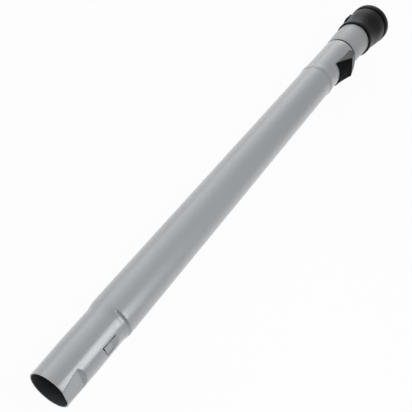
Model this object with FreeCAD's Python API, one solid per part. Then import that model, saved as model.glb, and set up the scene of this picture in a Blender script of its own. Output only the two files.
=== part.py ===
import FreeCAD, Part
import math
import os

# Telescopic vacuum wand, pushed together and locked, lying on its side.
# Millimetres. The wand is drawn with its axis on X, nozzle mouth at X = 0 and the trigger up (+Z).
# Each node is then rolled about the axis to the lie of the wand on a floor:
# it rests on the neck, the coupler's lip and the latch, with the trigger up to the side (-Y).

# Outer tube: painted steel, drawn in to a spigot at the nozzle end, opened a little at the other end.
tube_od = 38.3
tube_wall = 0.8
spigot_mouth_od = 34.2
spigot_od = 35.7
spigot_taper = 33.0
spigot_length = 64.0
neck_length = 7.5
neck_blend = 6.0
bead_rise = 0.85
bead_back = 67.0
bead_width = 5.0
bead_ramp = 1.5
bead_foot_blend = 2.0
bead_crown_blend = 1.0
bell_rise = 0.35

# Pressed marks in the spigot: ramped flat, catch pocket and crease.
flat_start = 0.5
flat_depth = 2.1
flat_deep_at = 15.0
flat_end = 21.5
flat_ramp = 3.5
flat_blend = 3.0
flat_edge_blend = 1.0
pocket_at = 42.0
pocket_length = 16.0
pocket_width = 11.5
pocket_depth = 2.3
pocket_blend = 0.6
crease_radius = 1.3
crease_depth = 0.9
crease_half_angle = 51.0
crease_back = 1.0
marks_turn = 8.5

# Inner tube: plated steel with a row of pressed cross notches for the lock.
bush_room = 2.35
inner_wall = 0.7
inner_reach = 32.0
notch_count = 13
notch_pitch = 29.0
notch_radius = 3.0
notch_depth = 1.6

# Lock roller, release trigger and trigger spring.
roller_back = 23.5
roller_dia = 5.0
roller_length = 11.0
roller_play = 0.08
trigger_start_back = 44.0
trigger_crest_back = 20.5
trigger_end_back = 4.0
trigger_travel = 6.0
trigger_lift = 1.75
trigger_crest = 5.9
trigger_back = 2.9
trigger_toe = 1.1
trigger_half_angle = 46.4
trigger_crest_width = 23.5
trigger_scoop = 0.7
grip_grooves = 6
grip_radius = 0.7
foot_width = 4.4
foot_length = 3.5
foot_flange = 0.8
foot_spread = 12.5
front_foot_back = 40.0
rear_foot_back = 18.5
spring_wire = 0.55
spring_dia = 3.0
spring_turns = 7
spring_space = 11.0

# Guide bush in the bell, with wiper, and tail bush with seal on the inner tube.
bush_length = 76.0
bush_flange = 2.4
bush_chamfer = 0.8
bush_edge = 0.4
bush_inset = 0.15
bush_snap = 0.2
wiper_back = 2.0
wiper_length = 3.0
wiper_depth = 1.2
tail_room = 8.0
tail_length = 20.0
tail_lip = 1.8
tail_chamfer = 0.8
tail_lead = 0.6
tail_seal_width = 4.0
tail_seal_depth = 1.2

# Cuff: moulded sleeve on the inner tube, cranked towards the trigger.
cuff_gap = 0.5
cuff_bend_on = 28.0
cuff_bend = 4.0
cuff_start_od = 39.2
cuff_od = 41.0
cuff_length = 63.4
cuff_edge = 0.5
cuff_run_out = 3.0
mitre_room = 5.0
cuff_step = 3.0
socket_dia = 35.2
socket_seat = 15.0
socket_entry_dia = 36.0
lug_size = 3.6
lug_on = 24.0
lug_slack = 1.0

# Coupler sleeve over the cuff, with mouth ring and socket seal.
coupler_length = 47.4
coupler_lip_wall = 2.2
coupler_waist_wall = 1.8
coupler_shoulder_wall = 3.3
coupler_shoulder_back = 13.0
coupler_lip_length = 5.0
coupler_lip_ramp = 4.0
coupler_lip_edge = 0.9
coupler_flare = 20.0
coupler_knee = 8.0
coupler_knee_rise = 0.6
coupler_shoulder_edge = 1.0
coupler_end_edge = 0.4
ring_wall = 4.25
ring_length = 7.0
ring_edge = 0.9
mouth_edge = 0.7
ring_lap = 3.0
seal_length = 2.2
lap_wall = 1.4
ring_groove = 0.8
ring_groove_depth = 0.5
ring_groove_at = 2.4

# Hose latch: rocker with hook, pin and spring, opposite the trigger.
latch_pivot_back = 26.5
latch_pivot_rise = 1.5
latch_width = 10.0
latch_button_half_angle = 29.0
latch_deck_half_angle = 31.0
latch_bar_drop = 0.6
latch_button_back = 7.5
latch_hook_back = 37.0
latch_hook_width = 3.2
latch_hook_reach = 1.0
latch_thickness = 1.8
latch_rise = 2.1
pin_dia = 2.0
latch_spring_back = 13.5
latch_spring_dia = 4.2
latch_spring_turns = 3
latch_spring_wire = 0.5
ear_thickness = 2.4
ear_half_foot = 3.6
ear_half_top = 2.2
ear_cover = 1.9

# Fits: fixed pieces sit with press_gap, sliding ones with slide_gap, loose ones with free_gap.
press_gap = 0.03
slide_gap = 0.06
free_gap = 0.3
stop_gap = 0.5
lie_roll = 50.0

ORIGIN = FreeCAD.Vector(0, 0, 0)
ALONG = FreeCAD.Vector(1, 0, 0)
ACROSS = FreeCAD.Vector(0, 1, 0)

tube_r = tube_od / 2
bead_r = tube_r + bead_rise
bell_r = tube_r + bell_rise
bell_od = 2 * bell_r
bell_in = bell_r - tube_wall
tube_in = tube_r - tube_wall
inner_r = tube_in - bush_room
inner_od = 2 * inner_r
inner_bore = inner_r - inner_wall
travel = notch_pitch * (notch_count - 1)
bush_in = inner_r + slide_gap
bush_out = bell_in - press_gap
bush_bottom = spigot_length + neck_length + tail_room + tail_length + stop_gap + travel
tube_end = bush_bottom + bush_length
bead_at = tube_end - bead_back
roller_at = tube_end - roller_back
trigger_start = tube_end - trigger_start_back
trigger_crest_at = tube_end - trigger_crest_back
trigger_end = tube_end - trigger_end_back
front_foot_at = tube_end - front_foot_back
rear_foot_at = tube_end - rear_foot_back
inner_top = tube_end + inner_reach
cuff_bend_at = tube_end + cuff_bend_on
lug_at = tube_end + lug_on
tail_top = bush_bottom - travel - stop_gap
tail_start = tail_top - tail_length
cuff_start = tube_end + bush_flange + cuff_gap
cuff_r = cuff_od / 2
coupler_lip_od = cuff_od + 2 * coupler_lip_wall
coupler_waist_od = cuff_od + 2 * coupler_waist_wall
coupler_shoulder_od = cuff_od + 2 * coupler_shoulder_wall
ring_od = cuff_od + 2 * ring_wall
latch_pivot_up = cuff_r + latch_pivot_rise
sleeve_in = cuff_r + press_gap
latch_pivot_at = cuff_length - latch_pivot_back
latch_button_end = cuff_length - latch_button_back
latch_hook_at = cuff_length - latch_hook_back
latch_spring_at = cuff_length - latch_spring_back
coupler_start = cuff_length - coupler_length
coupler_shoulder_at = cuff_length - coupler_shoulder_back
roller_r = roller_dia / 2
notch_floor = inner_r - notch_depth
roller_up = notch_floor + roller_play + roller_r


def wire(corners):
    """Closed outline in XZ. A corner is x, z and a rounding radius, or less than 0 for a straight cut."""
    count = len(corners)
    enter = []
    leave = []
    middle = []
    for i in range(count):
        x, z, blend = corners[i]
        here = FreeCAD.Vector(x, 0, z)
        if not blend:
            enter.append(here)
            leave.append(here)
            middle.append(None)
            continue
        back = corners[i - 1]
        ahead = corners[(i + 1) % count]
        u = FreeCAD.Vector(back[0] - x, 0, back[1] - z)
        v = FreeCAD.Vector(ahead[0] - x, 0, ahead[1] - z)
        room = min(u.Length, v.Length) * 0.49
        u.normalize()
        v.normalize()
        if blend < 0:
            enter.append(here + u * min(-blend, room))
            leave.append(here + v * min(-blend, room))
            middle.append(None)
            continue
        half = math.acos(max(-1.0, min(1.0, u.dot(v)))) / 2
        reach = min(blend / math.tan(half), room)
        radius = reach * math.tan(half)
        bisector = u + v
        bisector.normalize()
        enter.append(here + u * reach)
        leave.append(here + v * reach)
        middle.append(here + bisector * (radius / math.sin(half) - radius))
    edges = []
    for i in range(count):
        if middle[i] is not None:
            edges.append(Part.Arc(enter[i], middle[i], leave[i]).toShape())
        elif enter[i].distanceToPoint(leave[i]) > 1e-6:
            edges.append(Part.LineSegment(enter[i], leave[i]).toShape())
        start = leave[i]
        stop = enter[(i + 1) % count]
        if start.distanceToPoint(stop) > 1e-6:
            edges.append(Part.LineSegment(start, stop).toShape())
    return Part.Wire(edges)


def turned(corners, half_angle=180.0):
    """Solid of revolution about X, whole, or a sector on each side of +Z."""
    face = Part.Face(wire(corners))
    if half_angle >= 180.0:
        return face.revolve(ORIGIN, ALONG, 360)
    face.rotate(ORIGIN, ALONG, -half_angle)
    return face.revolve(ORIGIN, ALONG, 2 * half_angle)


def prism(corners, half_width):
    """Outline in XZ carried across, the same to each side of the middle plane."""
    face = Part.Face(wire(corners))
    face.translate(ACROSS * -half_width)
    return face.extrude(ACROSS * (2 * half_width))


def block(x0, x1, half_width, z0, z1):
    return prism([(x0, z0, 0), (x1, z0, 0), (x1, z1, 0), (x0, z1, 0)], half_width)


def cross_rod(x, z, radius, half_length):
    return Part.makeCylinder(radius, 2 * half_length, FreeCAD.Vector(x, -half_length, z), ACROSS)


def rod(x0, x1, radius):
    return Part.makeCylinder(radius, x1 - x0, FreeCAD.Vector(x0, 0, 0), ALONG)


def ring(x0, x1, r_in, r_out):
    return rod(x0, x1, r_out).cut(rod(x0, x1, r_in))


def coil(wire_dia, outer_dia, length, turns):
    """Round wire coil on Z from zero, ends kept inside the length."""
    rise = length - wire_dia
    path = Part.makeHelix(rise / turns, rise, (outer_dia - wire_dia) / 2)
    section = Part.makePolygon(
        [
            FreeCAD.Vector(
                (outer_dia - wire_dia) / 2 + wire_dia / 2 * math.cos(math.radians(60 * k)),
                0,
                wire_dia / 2 * math.sin(math.radians(60 * k)),
            )
            for k in range(7)
        ]
    )
    spring = Part.Wire(path.Edges).makePipeShell([section], True, True)
    spring.translate(FreeCAD.Vector(0, 0, wire_dia / 2))
    return spring


def crank(shape):
    """From the coupler's own axis to the wand: tipped towards the trigger at the bend."""
    moved = shape.copy()
    moved.rotate(ORIGIN, ACROSS, -cuff_bend)
    moved.translate(ALONG * cuff_bend_at)
    return moved


def flip(shape):
    """Half a turn about the axis, to the side opposite the trigger."""
    moved = shape.copy()
    moved.rotate(ORIGIN, ALONG, 180)
    return moved


nodes = {}

# Outer tube: the skin is turned solid, the marks are pressed into it and the bore follows at wall depth.
neck_end = spigot_length + neck_length
skin = [
    (0, spigot_mouth_od / 2, 0),
    (spigot_taper, spigot_od / 2, 0),
    (spigot_length, spigot_od / 2, neck_blend),
    (neck_end, tube_r, neck_blend),
    (bead_at - bead_width / 2 - bead_ramp, tube_r, bead_foot_blend),
    (bead_at - bead_width / 4, bead_r, bead_crown_blend),
    (bead_at + bead_width / 4, bead_r, bead_crown_blend),
    (bead_at + bead_width / 2 + bead_ramp, bell_r, bead_foot_blend),
    (tube_end, bell_r, 0),
]
body = turned([(0, 0, 0)] + skin + [(tube_end, 0, 0)])
lining = [(x, r - tube_wall, blend) for x, r, blend in skin]
lining[0] = (-1.0, spigot_mouth_od / 2 - tube_wall, 0)
lining[-1] = (tube_end + 1.0, bell_r - tube_wall, 0)
bore = turned([(-1.0, 0, 0)] + lining + [(tube_end + 1.0, 0, 0)])


def flat_mark(grow):
    top = spigot_od
    mouth = spigot_mouth_od / 2
    return prism(
        [
            (-flat_ramp, mouth - flat_start - grow, 0),
            (flat_deep_at, mouth - flat_depth - grow, flat_blend),
            (flat_end - flat_ramp + grow, mouth - flat_depth - grow, flat_edge_blend),
            (flat_end + grow, spigot_od / 2 + flat_start, 0),
            (flat_end + grow, top, 0),
            (-flat_ramp, top, 0),
        ],
        spigot_od,
    )


def pocket_mark(grow):
    floor = spigot_od / 2 - pocket_depth - grow
    slope = pocket_length + 2 * grow
    wedge = prism(
        [
            (pocket_at - grow, floor, pocket_blend),
            (pocket_at - grow + slope, floor + pocket_depth + press_gap, 0),
            (pocket_at - grow + slope, spigot_od, 0),
            (pocket_at - grow, spigot_od, 0),
        ],
        pocket_width / 2 + grow,
    )
    return wedge


def crease_mark(grow):
    crease_at = neck_end - crease_back
    centre = tube_r + crease_radius - crease_depth
    radius = crease_radius + grow
    disc = Part.Face(Part.Wire(Part.makeCircle(radius, FreeCAD.Vector(crease_at, 0, centre), ACROSS)))
    disc.rotate(ORIGIN, ALONG, -crease_half_angle)
    mark = disc.revolve(ORIGIN, ALONG, 2 * crease_half_angle)
    for side in (-1, 1):
        end = Part.makeSphere(radius, FreeCAD.Vector(crease_at, 0, centre), ACROSS)
        end.rotate(ORIGIN, ALONG, side * crease_half_angle)
        mark = mark.fuse(end)
    return mark


for mark in (flat_mark, pocket_mark, crease_mark):
    body = body.cut(mark(0.0))
    bore = bore.cut(mark(tube_wall))
tube = body.cut(bore)
tube.rotate(ORIGIN, ALONG, -marks_turn)
slot_half = foot_width / 2 + free_gap
front_slot_end = front_foot_at + foot_length + trigger_travel + free_gap
rear_slot_end = rear_foot_at + foot_length + spring_space
roller_half = roller_length / 2 + free_gap
cage_start = roller_at - roller_r - free_gap
cage_end = roller_at + roller_r + free_gap
tube = tube.cut(block(front_foot_at - free_gap, front_slot_end, slot_half, inner_r, bell_od))
tube = tube.cut(block(rear_foot_at - free_gap, rear_slot_end, slot_half, inner_r, bell_od))
tube = tube.cut(block(cage_start, cage_end, roller_half, inner_r / 2, bell_od))
nodes["outer_tube"] = tube

# Guide bush: slides the inner tube, snaps into the bead, closes the tube's end with its flange.
bush_skin = [
    (bush_bottom, tube_in - press_gap, -bush_chamfer),
    (bead_at - bead_width / 2 - bead_ramp, tube_in - press_gap, 0),
    (bead_at - bead_width / 4, bead_r - tube_wall - bush_snap, 0),
    (bead_at + bead_width / 4, bead_r - tube_wall - bush_snap, 0),
    (bead_at + bead_width / 2 + bead_ramp, bush_out, 0),
    (tube_end, bush_out, 0),
    (tube_end, bell_r - bush_inset, 0),
    (tube_end + bush_flange, bell_r - bush_inset, -bush_edge),
]
bush = turned([(bush_bottom, bush_in, 0)] + bush_skin + [(tube_end + bush_flange, bush_in, 0)])
wiper_start = tube_end + bush_flange - wiper_back - wiper_length
bush = bush.cut(ring(wiper_start, wiper_start + wiper_length, inner_bore, bush_in + wiper_depth))
channel_floor = bush_in + (bush_out - bush_in) * 0.42
channel = turned(
    [
        (front_foot_at - free_gap, channel_floor, 0),
        (rear_slot_end, channel_floor, 0),
        (rear_slot_end, bell_r, 0),
        (front_foot_at - free_gap, bell_r, 0),
    ],
    foot_spread + 3.0,
)
bush = bush.cut(channel)
bush = bush.cut(block(cage_start, cage_end, roller_half, inner_r / 2, bell_od))
nodes["guide_bush"] = bush
nodes["wiper_ring"] = ring(wiper_start, wiper_start + wiper_length, bush_in, bush_in + wiper_depth)

# Lock roller: steel pin across the inner tube, seated in the first notch.
nodes["lock_roller"] = cross_rod(roller_at, roller_up, roller_r, roller_length / 2)


# Release trigger: saddle on the bell, a scooped ramp up to a crest, and two feet through the tube.
def saddle(x, rise_side, rise_mid, half_angle, half_top):
    under = bell_r + free_gap
    lean = math.radians(half_angle)
    low = FreeCAD.Vector(x, under * math.sin(lean), under * math.cos(lean))
    far = FreeCAD.Vector(x, -low.y, low.z)
    keel = FreeCAD.Vector(x, 0, under)
    crown = FreeCAD.Vector(x, 0, rise_mid)
    top = FreeCAD.Vector(x, half_top, rise_side)
    top_far = FreeCAD.Vector(x, -half_top, rise_side)
    return Part.Wire(
        [
            Part.Arc(far, keel, low).toShape(),
            Part.LineSegment(low, top).toShape(),
            Part.Arc(top, crown, top_far).toShape(),
            Part.LineSegment(top_far, far).toShape(),
        ]
    )


toe_r = bell_r + free_gap + trigger_toe
toe_lean = math.radians(trigger_half_angle)
crest_up = bell_r + trigger_crest
back_up = bell_r + trigger_back
crest_half = trigger_crest_width / 2
trigger = Part.makeLoft(
    [
        saddle(
            trigger_start,
            toe_r * math.cos(toe_lean),
            toe_r,
            trigger_half_angle,
            toe_r * math.sin(toe_lean),
        ),
        saddle(trigger_crest_at, crest_up - 0.7, crest_up, trigger_half_angle - 6, crest_half),
        saddle(trigger_end, back_up - 1.0, back_up, trigger_half_angle - 6, crest_half - 0.4),
    ],
    True,
    True,
)
ramp_run = trigger_crest_at - trigger_start
ramp_rise = crest_up - toe_r
ramp_length = math.hypot(ramp_run, ramp_rise)
scoop_radius = ramp_length * ramp_length / (8 * trigger_scoop) * 0.8
lean_x = -ramp_rise / ramp_length
lean_z = ramp_run / ramp_length
scoop_x = (trigger_start + trigger_crest_at) / 2 + lean_x * (scoop_radius - trigger_scoop)
scoop_z = (toe_r + crest_up) / 2 + lean_z * (scoop_radius - trigger_scoop)
trigger = trigger.cut(cross_rod(scoop_x, scoop_z, scoop_radius, tube_od))
for k in range(grip_grooves):
    turn = (k - (grip_grooves - 1) / 2) * 0.75 * ramp_length / grip_grooves / scoop_radius
    dir_x = -lean_x * math.cos(turn) + lean_z * math.sin(turn)
    dir_z = -lean_z * math.cos(turn) - lean_x * math.sin(turn)
    groove_x = scoop_x + dir_x * (scoop_radius - grip_radius * 0.4)
    groove_z = scoop_z + dir_z * (scoop_radius - grip_radius * 0.4)
    trigger = trigger.cut(cross_rod(groove_x, groove_z, grip_radius, tube_od))
room = roller_r + free_gap
room_half = roller_half
lifted_x = roller_at - trigger_travel
lifted_z = roller_up + trigger_lift
path_length = math.hypot(trigger_travel, trigger_lift)
over_x = trigger_lift / path_length * room
over_z = trigger_travel / path_length * room
pocket = cross_rod(roller_at, roller_up, room, room_half)
pocket = pocket.fuse(cross_rod(lifted_x, lifted_z, room, room_half))
pocket = pocket.fuse(
    prism(
        [
            (lifted_x - room, inner_r / 2, 0),
            (roller_at + room, inner_r / 2, 0),
            (roller_at + room, roller_up, 0),
            (roller_at + over_x, roller_up + over_z, 0),
            (lifted_x + over_x, lifted_z + over_z, 0),
            (lifted_x - room, lifted_z, 0),
        ],
        room_half,
    )
)
trigger = trigger.cut(pocket)
flange_top = bell_in - free_gap
flange_low = flange_top - foot_flange
for foot_at in (front_foot_at, rear_foot_at):
    stem = block(foot_at, foot_at + foot_length, foot_width / 2, flange_low + 0.2, bell_r + 1.0)
    toes = turned(
        [
            (foot_at, flange_low, 0),
            (foot_at + foot_length, flange_low, 0),
            (foot_at + foot_length, flange_top, 0),
            (foot_at, flange_top, 0),
        ],
        foot_spread,
    )
    trigger = trigger.fuse(stem).fuse(toes)
spring_start = rear_foot_at + foot_length
spring_up = channel_floor + free_gap + spring_dia / 2
channel_dia = spring_dia + 2 * free_gap
spring_room = rod(spring_start, trigger_end + 1.0, channel_dia / 2)
spring_room.translate(FreeCAD.Vector(0, 0, spring_up))
trigger = trigger.cut(spring_room)
nodes["release_trigger"] = trigger.removeSplitter()

# Trigger spring: coil behind the rear foot, against the end of the tube's slot.
spring = coil(spring_wire, spring_dia, spring_space, spring_turns)
spring.rotate(ORIGIN, ACROSS, 90)
spring.translate(FreeCAD.Vector(spring_start, 0, spring_up))
nodes["trigger_spring"] = spring

# Inner tube: notches pressed across its upper side at the lock pitch, and two windows for the cuff's lugs.
inner_start = tail_start + tail_lip
core = rod(inner_start, inner_top, inner_r)
hollow = rod(inner_start - 1.0, inner_top + 1.0, inner_bore)
notch_up = notch_floor + notch_radius
for k in range(notch_count):
    notch_x = roller_at - k * notch_pitch
    core = core.cut(cross_rod(notch_x, notch_up, notch_radius, inner_od))
    hollow = hollow.cut(cross_rod(notch_x, notch_up, notch_radius + inner_wall, inner_od))
inner = core.cut(hollow)
window = block(lug_at, lug_at + lug_size, inner_od, -lug_size / 2, lug_size / 2)
nodes["inner_tube"] = inner.cut(window)

# Tail bush: ring under the inner tube's tail, running in the outer tube, with a felt seal in its groove.
tail_out = tube_in - slide_gap
tail = turned(
    [
        (tail_start, inner_bore, -tail_lead),
        (tail_start, tail_out, -tail_chamfer),
        (tail_top, tail_out, -tail_chamfer),
        (tail_top, inner_r + press_gap, 0),
        (inner_start, inner_r + press_gap, 0),
        (inner_start, inner_bore, 0),
    ]
)
seal_at = tail_start + tail_length / 2
tail = tail.cut(ring(seal_at, seal_at + tail_seal_width, tail_out - tail_seal_depth, tube_r))
nodes["tail_bush"] = tail
nodes["tail_seal"] = ring(seal_at, seal_at + tail_seal_width, tail_out - tail_seal_depth, tail_out)

# Cuff: lower socket straight on the inner tube, upper socket for the hose on the cranked axis.
lower = turned(
    [
        (cuff_start, 0, 0),
        (cuff_start, cuff_start_od / 2, -cuff_edge),
        (cuff_bend_at - cuff_run_out, cuff_r, 0),
        (cuff_bend_at + mitre_room, cuff_r, 0),
        (cuff_bend_at + mitre_room, 0, 0),
    ]
)
upper = crank(rod(-mitre_room, cuff_length, cuff_r))
beyond = block(0, 2 * mitre_room, cuff_od, -cuff_od, cuff_od)
before = block(-2 * mitre_room, 0, cuff_od, -cuff_od, cuff_od)
for side in (beyond, before):
    side.rotate(ORIGIN, ACROSS, -cuff_bend / 2)
    side.translate(ALONG * cuff_bend_at)
cuff = lower.cut(beyond).fuse(upper.cut(before))
cuff = cuff.cut(rod(cuff_start - 1.0, inner_top, inner_r + press_gap))
socket_start = inner_top - cuff_bend_at + cuff_step
cuff = cuff.cut(rod(cuff_start, inner_top + 2 * cuff_step, inner_bore))
cuff = cuff.cut(crank(rod(socket_start, cuff_length + 1.0, socket_dia / 2)))
entry_start = socket_start + socket_seat
cuff = cuff.cut(crank(rod(entry_start, cuff_length + 1.0, socket_entry_dia / 2)))
lug_half = lug_size / 2 - lug_slack
lugs = block(lug_at + press_gap, lug_at + lug_size - press_gap, cuff_r - lug_slack, -lug_half, lug_half)
cuff = cuff.fuse(lugs.cut(rod(cuff_start, inner_top, inner_bore)))
hook_room = block(
    latch_hook_at - latch_hook_width / 2 - 0.5,
    latch_hook_at + latch_hook_width / 2 + 0.6,
    latch_width / 2 + free_gap,
    socket_dia / 4,
    cuff_od,
)
cuff = cuff.cut(crank(flip(hook_room)))
nodes["cuff"] = cuff.removeSplitter()

# Coupler sleeve: lip over the cuff, waist, shoulder; ears and an opening for the latch on its far side.
sleeve_end = cuff_length - ring_lap
ring_start = cuff_length + seal_length - ring_length
sleeve = turned(
    [
        (coupler_start, sleeve_in, 0),
        (coupler_start, coupler_lip_od / 2, -coupler_lip_edge),
        (coupler_start + coupler_lip_length, coupler_lip_od / 2, 0),
        (coupler_start + coupler_lip_length + coupler_lip_ramp, coupler_waist_od / 2, 0),
        (coupler_shoulder_at - coupler_flare, coupler_waist_od / 2, 0),
        (coupler_shoulder_at - coupler_knee, coupler_waist_od / 2 + coupler_knee_rise, 0),
        (coupler_shoulder_at, coupler_shoulder_od / 2, -coupler_shoulder_edge),
        (ring_start - ring_groove, coupler_shoulder_od / 2, -coupler_end_edge),
        (ring_start - ring_groove, sleeve_in + lap_wall, 0),
        (sleeve_end, sleeve_in + lap_wall, 0),
        (sleeve_end, sleeve_in, 0),
    ]
)
open_start = latch_hook_at - latch_hook_width / 2 - 1.0
open_end = ring_start - 1.8
ear_half = latch_width / 2 + free_gap
for side in (-1, 1):
    ear = prism(
        [
            (latch_pivot_at - ear_half_foot, sleeve_in - 1.0, 0),
            (latch_pivot_at + ear_half_foot, sleeve_in - 1.0, 0),
            (latch_pivot_at + ear_half_top, latch_pivot_up + ear_cover, 1.2),
            (latch_pivot_at - ear_half_top, latch_pivot_up + ear_cover, 1.2),
        ],
        ear_thickness / 2,
    )
    ear.translate(ACROSS * (side * (ear_half + ear_thickness / 2)))
    ear = ear.cut(rod(0, cuff_length, sleeve_in))
    sleeve = sleeve.fuse(flip(ear))
sleeve = sleeve.cut(flip(block(open_start, open_end, ear_half, inner_r, ring_od)))
deck = sleeve_in + 0.9
button_start = latch_pivot_at + 3.9
button_room = turned(
    [
        (button_start, deck, 0),
        (open_end, deck, 0),
        (open_end, ring_od, 0),
        (button_start, ring_od, 0),
    ],
    latch_deck_half_angle,
)
sleeve = sleeve.cut(flip(button_room))
pin_half = ear_half + ear_thickness
pin_hole = cross_rod(latch_pivot_at, latch_pivot_up, pin_dia / 2 + press_gap, pin_half + 1.0)
sleeve = sleeve.cut(flip(pin_hole))
nodes["coupler_sleeve"] = crank(sleeve.removeSplitter())

# Mouth ring: caps the coupler, laps over its end and holds the seal against the cuff.
ring_end = cuff_length + seal_length + lap_wall
mouth = turned(
    [
        (ring_start, sleeve_in + lap_wall + press_gap, 0),
        (ring_start, ring_od / 2, -ring_edge),
        (ring_end, ring_od / 2, -ring_edge),
        (ring_end, socket_entry_dia / 2, -mouth_edge),
        (cuff_length + seal_length, socket_entry_dia / 2, 0),
        (cuff_length + seal_length, sleeve_in, 0),
        (sleeve_end, sleeve_in, 0),
        (sleeve_end, sleeve_in + lap_wall + press_gap, 0),
    ]
)
groove_at = ring_start + ring_groove_at
groove_floor = ring_od / 2 - ring_groove_depth
mouth = mouth.cut(ring(groove_at, groove_at + ring_groove, groove_floor, ring_od))
nodes["mouth_ring"] = crank(mouth)
nodes["socket_seal"] = crank(
    ring(cuff_length, cuff_length + seal_length, socket_entry_dia / 2 - 0.1, cuff_r)
)

# Hose latch: rocker on a pin, hook through the cuff, curved button standing clear of the sleeve.
button_top = coupler_shoulder_od / 2 + latch_rise
button_low = button_top - latch_thickness
web_low = cuff_r + free_gap
hook_tip = socket_dia / 2 - latch_hook_reach
hook_near = latch_hook_at - latch_hook_width / 2
hook_far = latch_hook_at + latch_hook_width / 2
rocker = prism(
    [
        (hook_near, hook_tip, 0.3),
        (hook_far - 1.2, hook_tip, 0.3),
        (hook_far, hook_tip + 1.4, 0),
        (hook_far, web_low, 0),
        (latch_pivot_at + 2.6, web_low, 0),
        (latch_pivot_at + 5.6, button_low, 0),
        (latch_button_end - latch_bar_drop, button_low, 0.5),
        (latch_button_end - latch_bar_drop, button_top - latch_bar_drop, 0.8),
        (latch_pivot_at + 4.2, button_top - latch_bar_drop, 0.8),
        (latch_pivot_at + 1.0, latch_pivot_up + 1.7, 0.6),
        (hook_near, latch_pivot_up + 0.9, 0.8),
    ],
    latch_width / 2,
)
plate = turned(
    [
        (latch_pivot_at + 4.4, button_low, 0),
        (latch_button_end, button_low, 0.5),
        (latch_button_end, button_top, 0.8),
        (latch_pivot_at + 4.4, button_top, 0.8),
    ],
    latch_button_half_angle,
)
rocker = rocker.fuse(plate)
rocker = rocker.cut(cross_rod(latch_pivot_at, latch_pivot_up, pin_dia / 2 + slide_gap, latch_width))
nodes["hose_latch"] = crank(flip(rocker.removeSplitter()))
nodes["latch_pin"] = crank(flip(cross_rod(latch_pivot_at, latch_pivot_up, pin_dia / 2, pin_half)))
latch_spring = coil(latch_spring_wire, latch_spring_dia, button_low - cuff_r, latch_spring_turns)
latch_spring.translate(FreeCAD.Vector(latch_spring_at, 0, cuff_r))
nodes["latch_spring"] = crank(flip(latch_spring))

os.makedirs("parts", exist_ok=True)
for name, shape in nodes.items():
    laid = shape.copy()
    laid.rotate(ORIGIN, ALONG, lie_roll)
    laid.exportStep("parts/" + name + ".step")
    print(name, laid.ShapeType, len(laid.Solids), laid.isValid(), round(laid.Volume / 1000, 2))
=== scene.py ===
import math

import bmesh
import bpy
from mathutils import Matrix, Vector


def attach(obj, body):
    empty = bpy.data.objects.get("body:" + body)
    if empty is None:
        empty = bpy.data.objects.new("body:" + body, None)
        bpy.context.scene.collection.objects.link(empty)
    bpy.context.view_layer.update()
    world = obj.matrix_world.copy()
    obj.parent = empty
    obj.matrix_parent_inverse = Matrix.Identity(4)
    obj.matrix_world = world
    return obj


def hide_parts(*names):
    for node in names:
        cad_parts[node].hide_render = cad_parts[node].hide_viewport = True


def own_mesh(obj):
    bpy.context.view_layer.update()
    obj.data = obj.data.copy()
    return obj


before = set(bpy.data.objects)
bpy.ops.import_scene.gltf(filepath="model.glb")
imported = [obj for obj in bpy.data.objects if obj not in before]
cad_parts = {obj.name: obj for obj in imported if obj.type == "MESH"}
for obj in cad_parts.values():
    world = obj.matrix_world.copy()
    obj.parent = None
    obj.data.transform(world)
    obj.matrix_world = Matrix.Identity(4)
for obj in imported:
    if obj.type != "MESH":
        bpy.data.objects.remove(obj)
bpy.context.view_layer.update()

# Outer tube: thin steel tube, drawn in to a spigot at the nozzle end and lacquered silver-grey.
# A ramped flat, a catch pocket with sheared edges and a crease are pressed into it; the hose end has a bead and a bell.
# Pieces are shaped with the wand's axis on X and the trigger up, then rolled to how the wand lies.
mm = 0.001
lay = Matrix.Rotation(math.radians(50.0), 4, "X")
tube_r = 19.15
tube_wall = 0.8
tube_end = 524.0
spigot_r = 17.85
spigot_mouth_r = 17.1
neck_from = 62.0
neck_to = 73.0
bead_at = 457.0
bead_r = 20.0
bell_r = 19.5
pressed_to = 80.0
taper_length = 33.0
marks_turn = math.radians(-8.5)
flat_to = 26.0
flat_blend = 0.22
pocket_edge = 3.3
pocket_far_edge = -5.9
pocket_from = 43.8
pocket_floor = 15.75
floor_level_to = 52.0
shear_gap = 1.05
shear_to = 57.0
shear_low, shear_high = 12, 21
crease_at = 69.8
crease_half = 1.5
crease_depth = 0.95
crease_upper = 55.0
crease_lower = 40.0


def ease(t):
    t = min(1.0, max(0.0, t))
    return t * t * (3.0 - 2.0 * t)


def turn(name, stations, sides, closed=False):
    """A ring is added at the first station, then extruded and scaled from station to station along X."""
    if bpy.context.object and bpy.context.object.mode == "EDIT":
        bpy.ops.object.mode_set(mode="OBJECT")
    bpy.ops.object.select_all(action="DESELECT")
    x, r = stations[0]
    bpy.ops.mesh.primitive_circle_add(
        vertices=sides, radius=r * mm, location=(x * mm, 0, 0), rotation=(0, math.pi / 2, 0)
    )
    piece = bpy.context.object
    piece.name = piece.data.name = name
    bpy.ops.object.transform_apply(location=True, rotation=True, scale=True)
    bpy.ops.object.mode_set(mode="EDIT")
    bpy.ops.mesh.select_all(action="SELECT")
    for x_next, r_next in stations[1:]:
        bpy.ops.mesh.extrude_region()
        bpy.ops.transform.translate(value=((x_next - x) * mm, 0, 0))
        bpy.ops.transform.resize(
            value=(1, r_next / r, r_next / r), center_override=(x_next * mm, 0, 0)
        )
        x, r = x_next, r_next
    bpy.ops.mesh.select_all(action="SELECT")
    if closed:
        bpy.ops.mesh.remove_doubles(threshold=1e-6)
    bpy.ops.mesh.normals_make_consistent(inside=False)
    bpy.ops.object.mode_set(mode="OBJECT")
    return piece


def apply_all(piece):
    bpy.ops.object.select_all(action="DESELECT")
    bpy.context.view_layer.objects.active = piece
    piece.select_set(True)
    for modifier in list(piece.modifiers):
        bpy.ops.object.modifier_apply(modifier=modifier.name)


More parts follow.
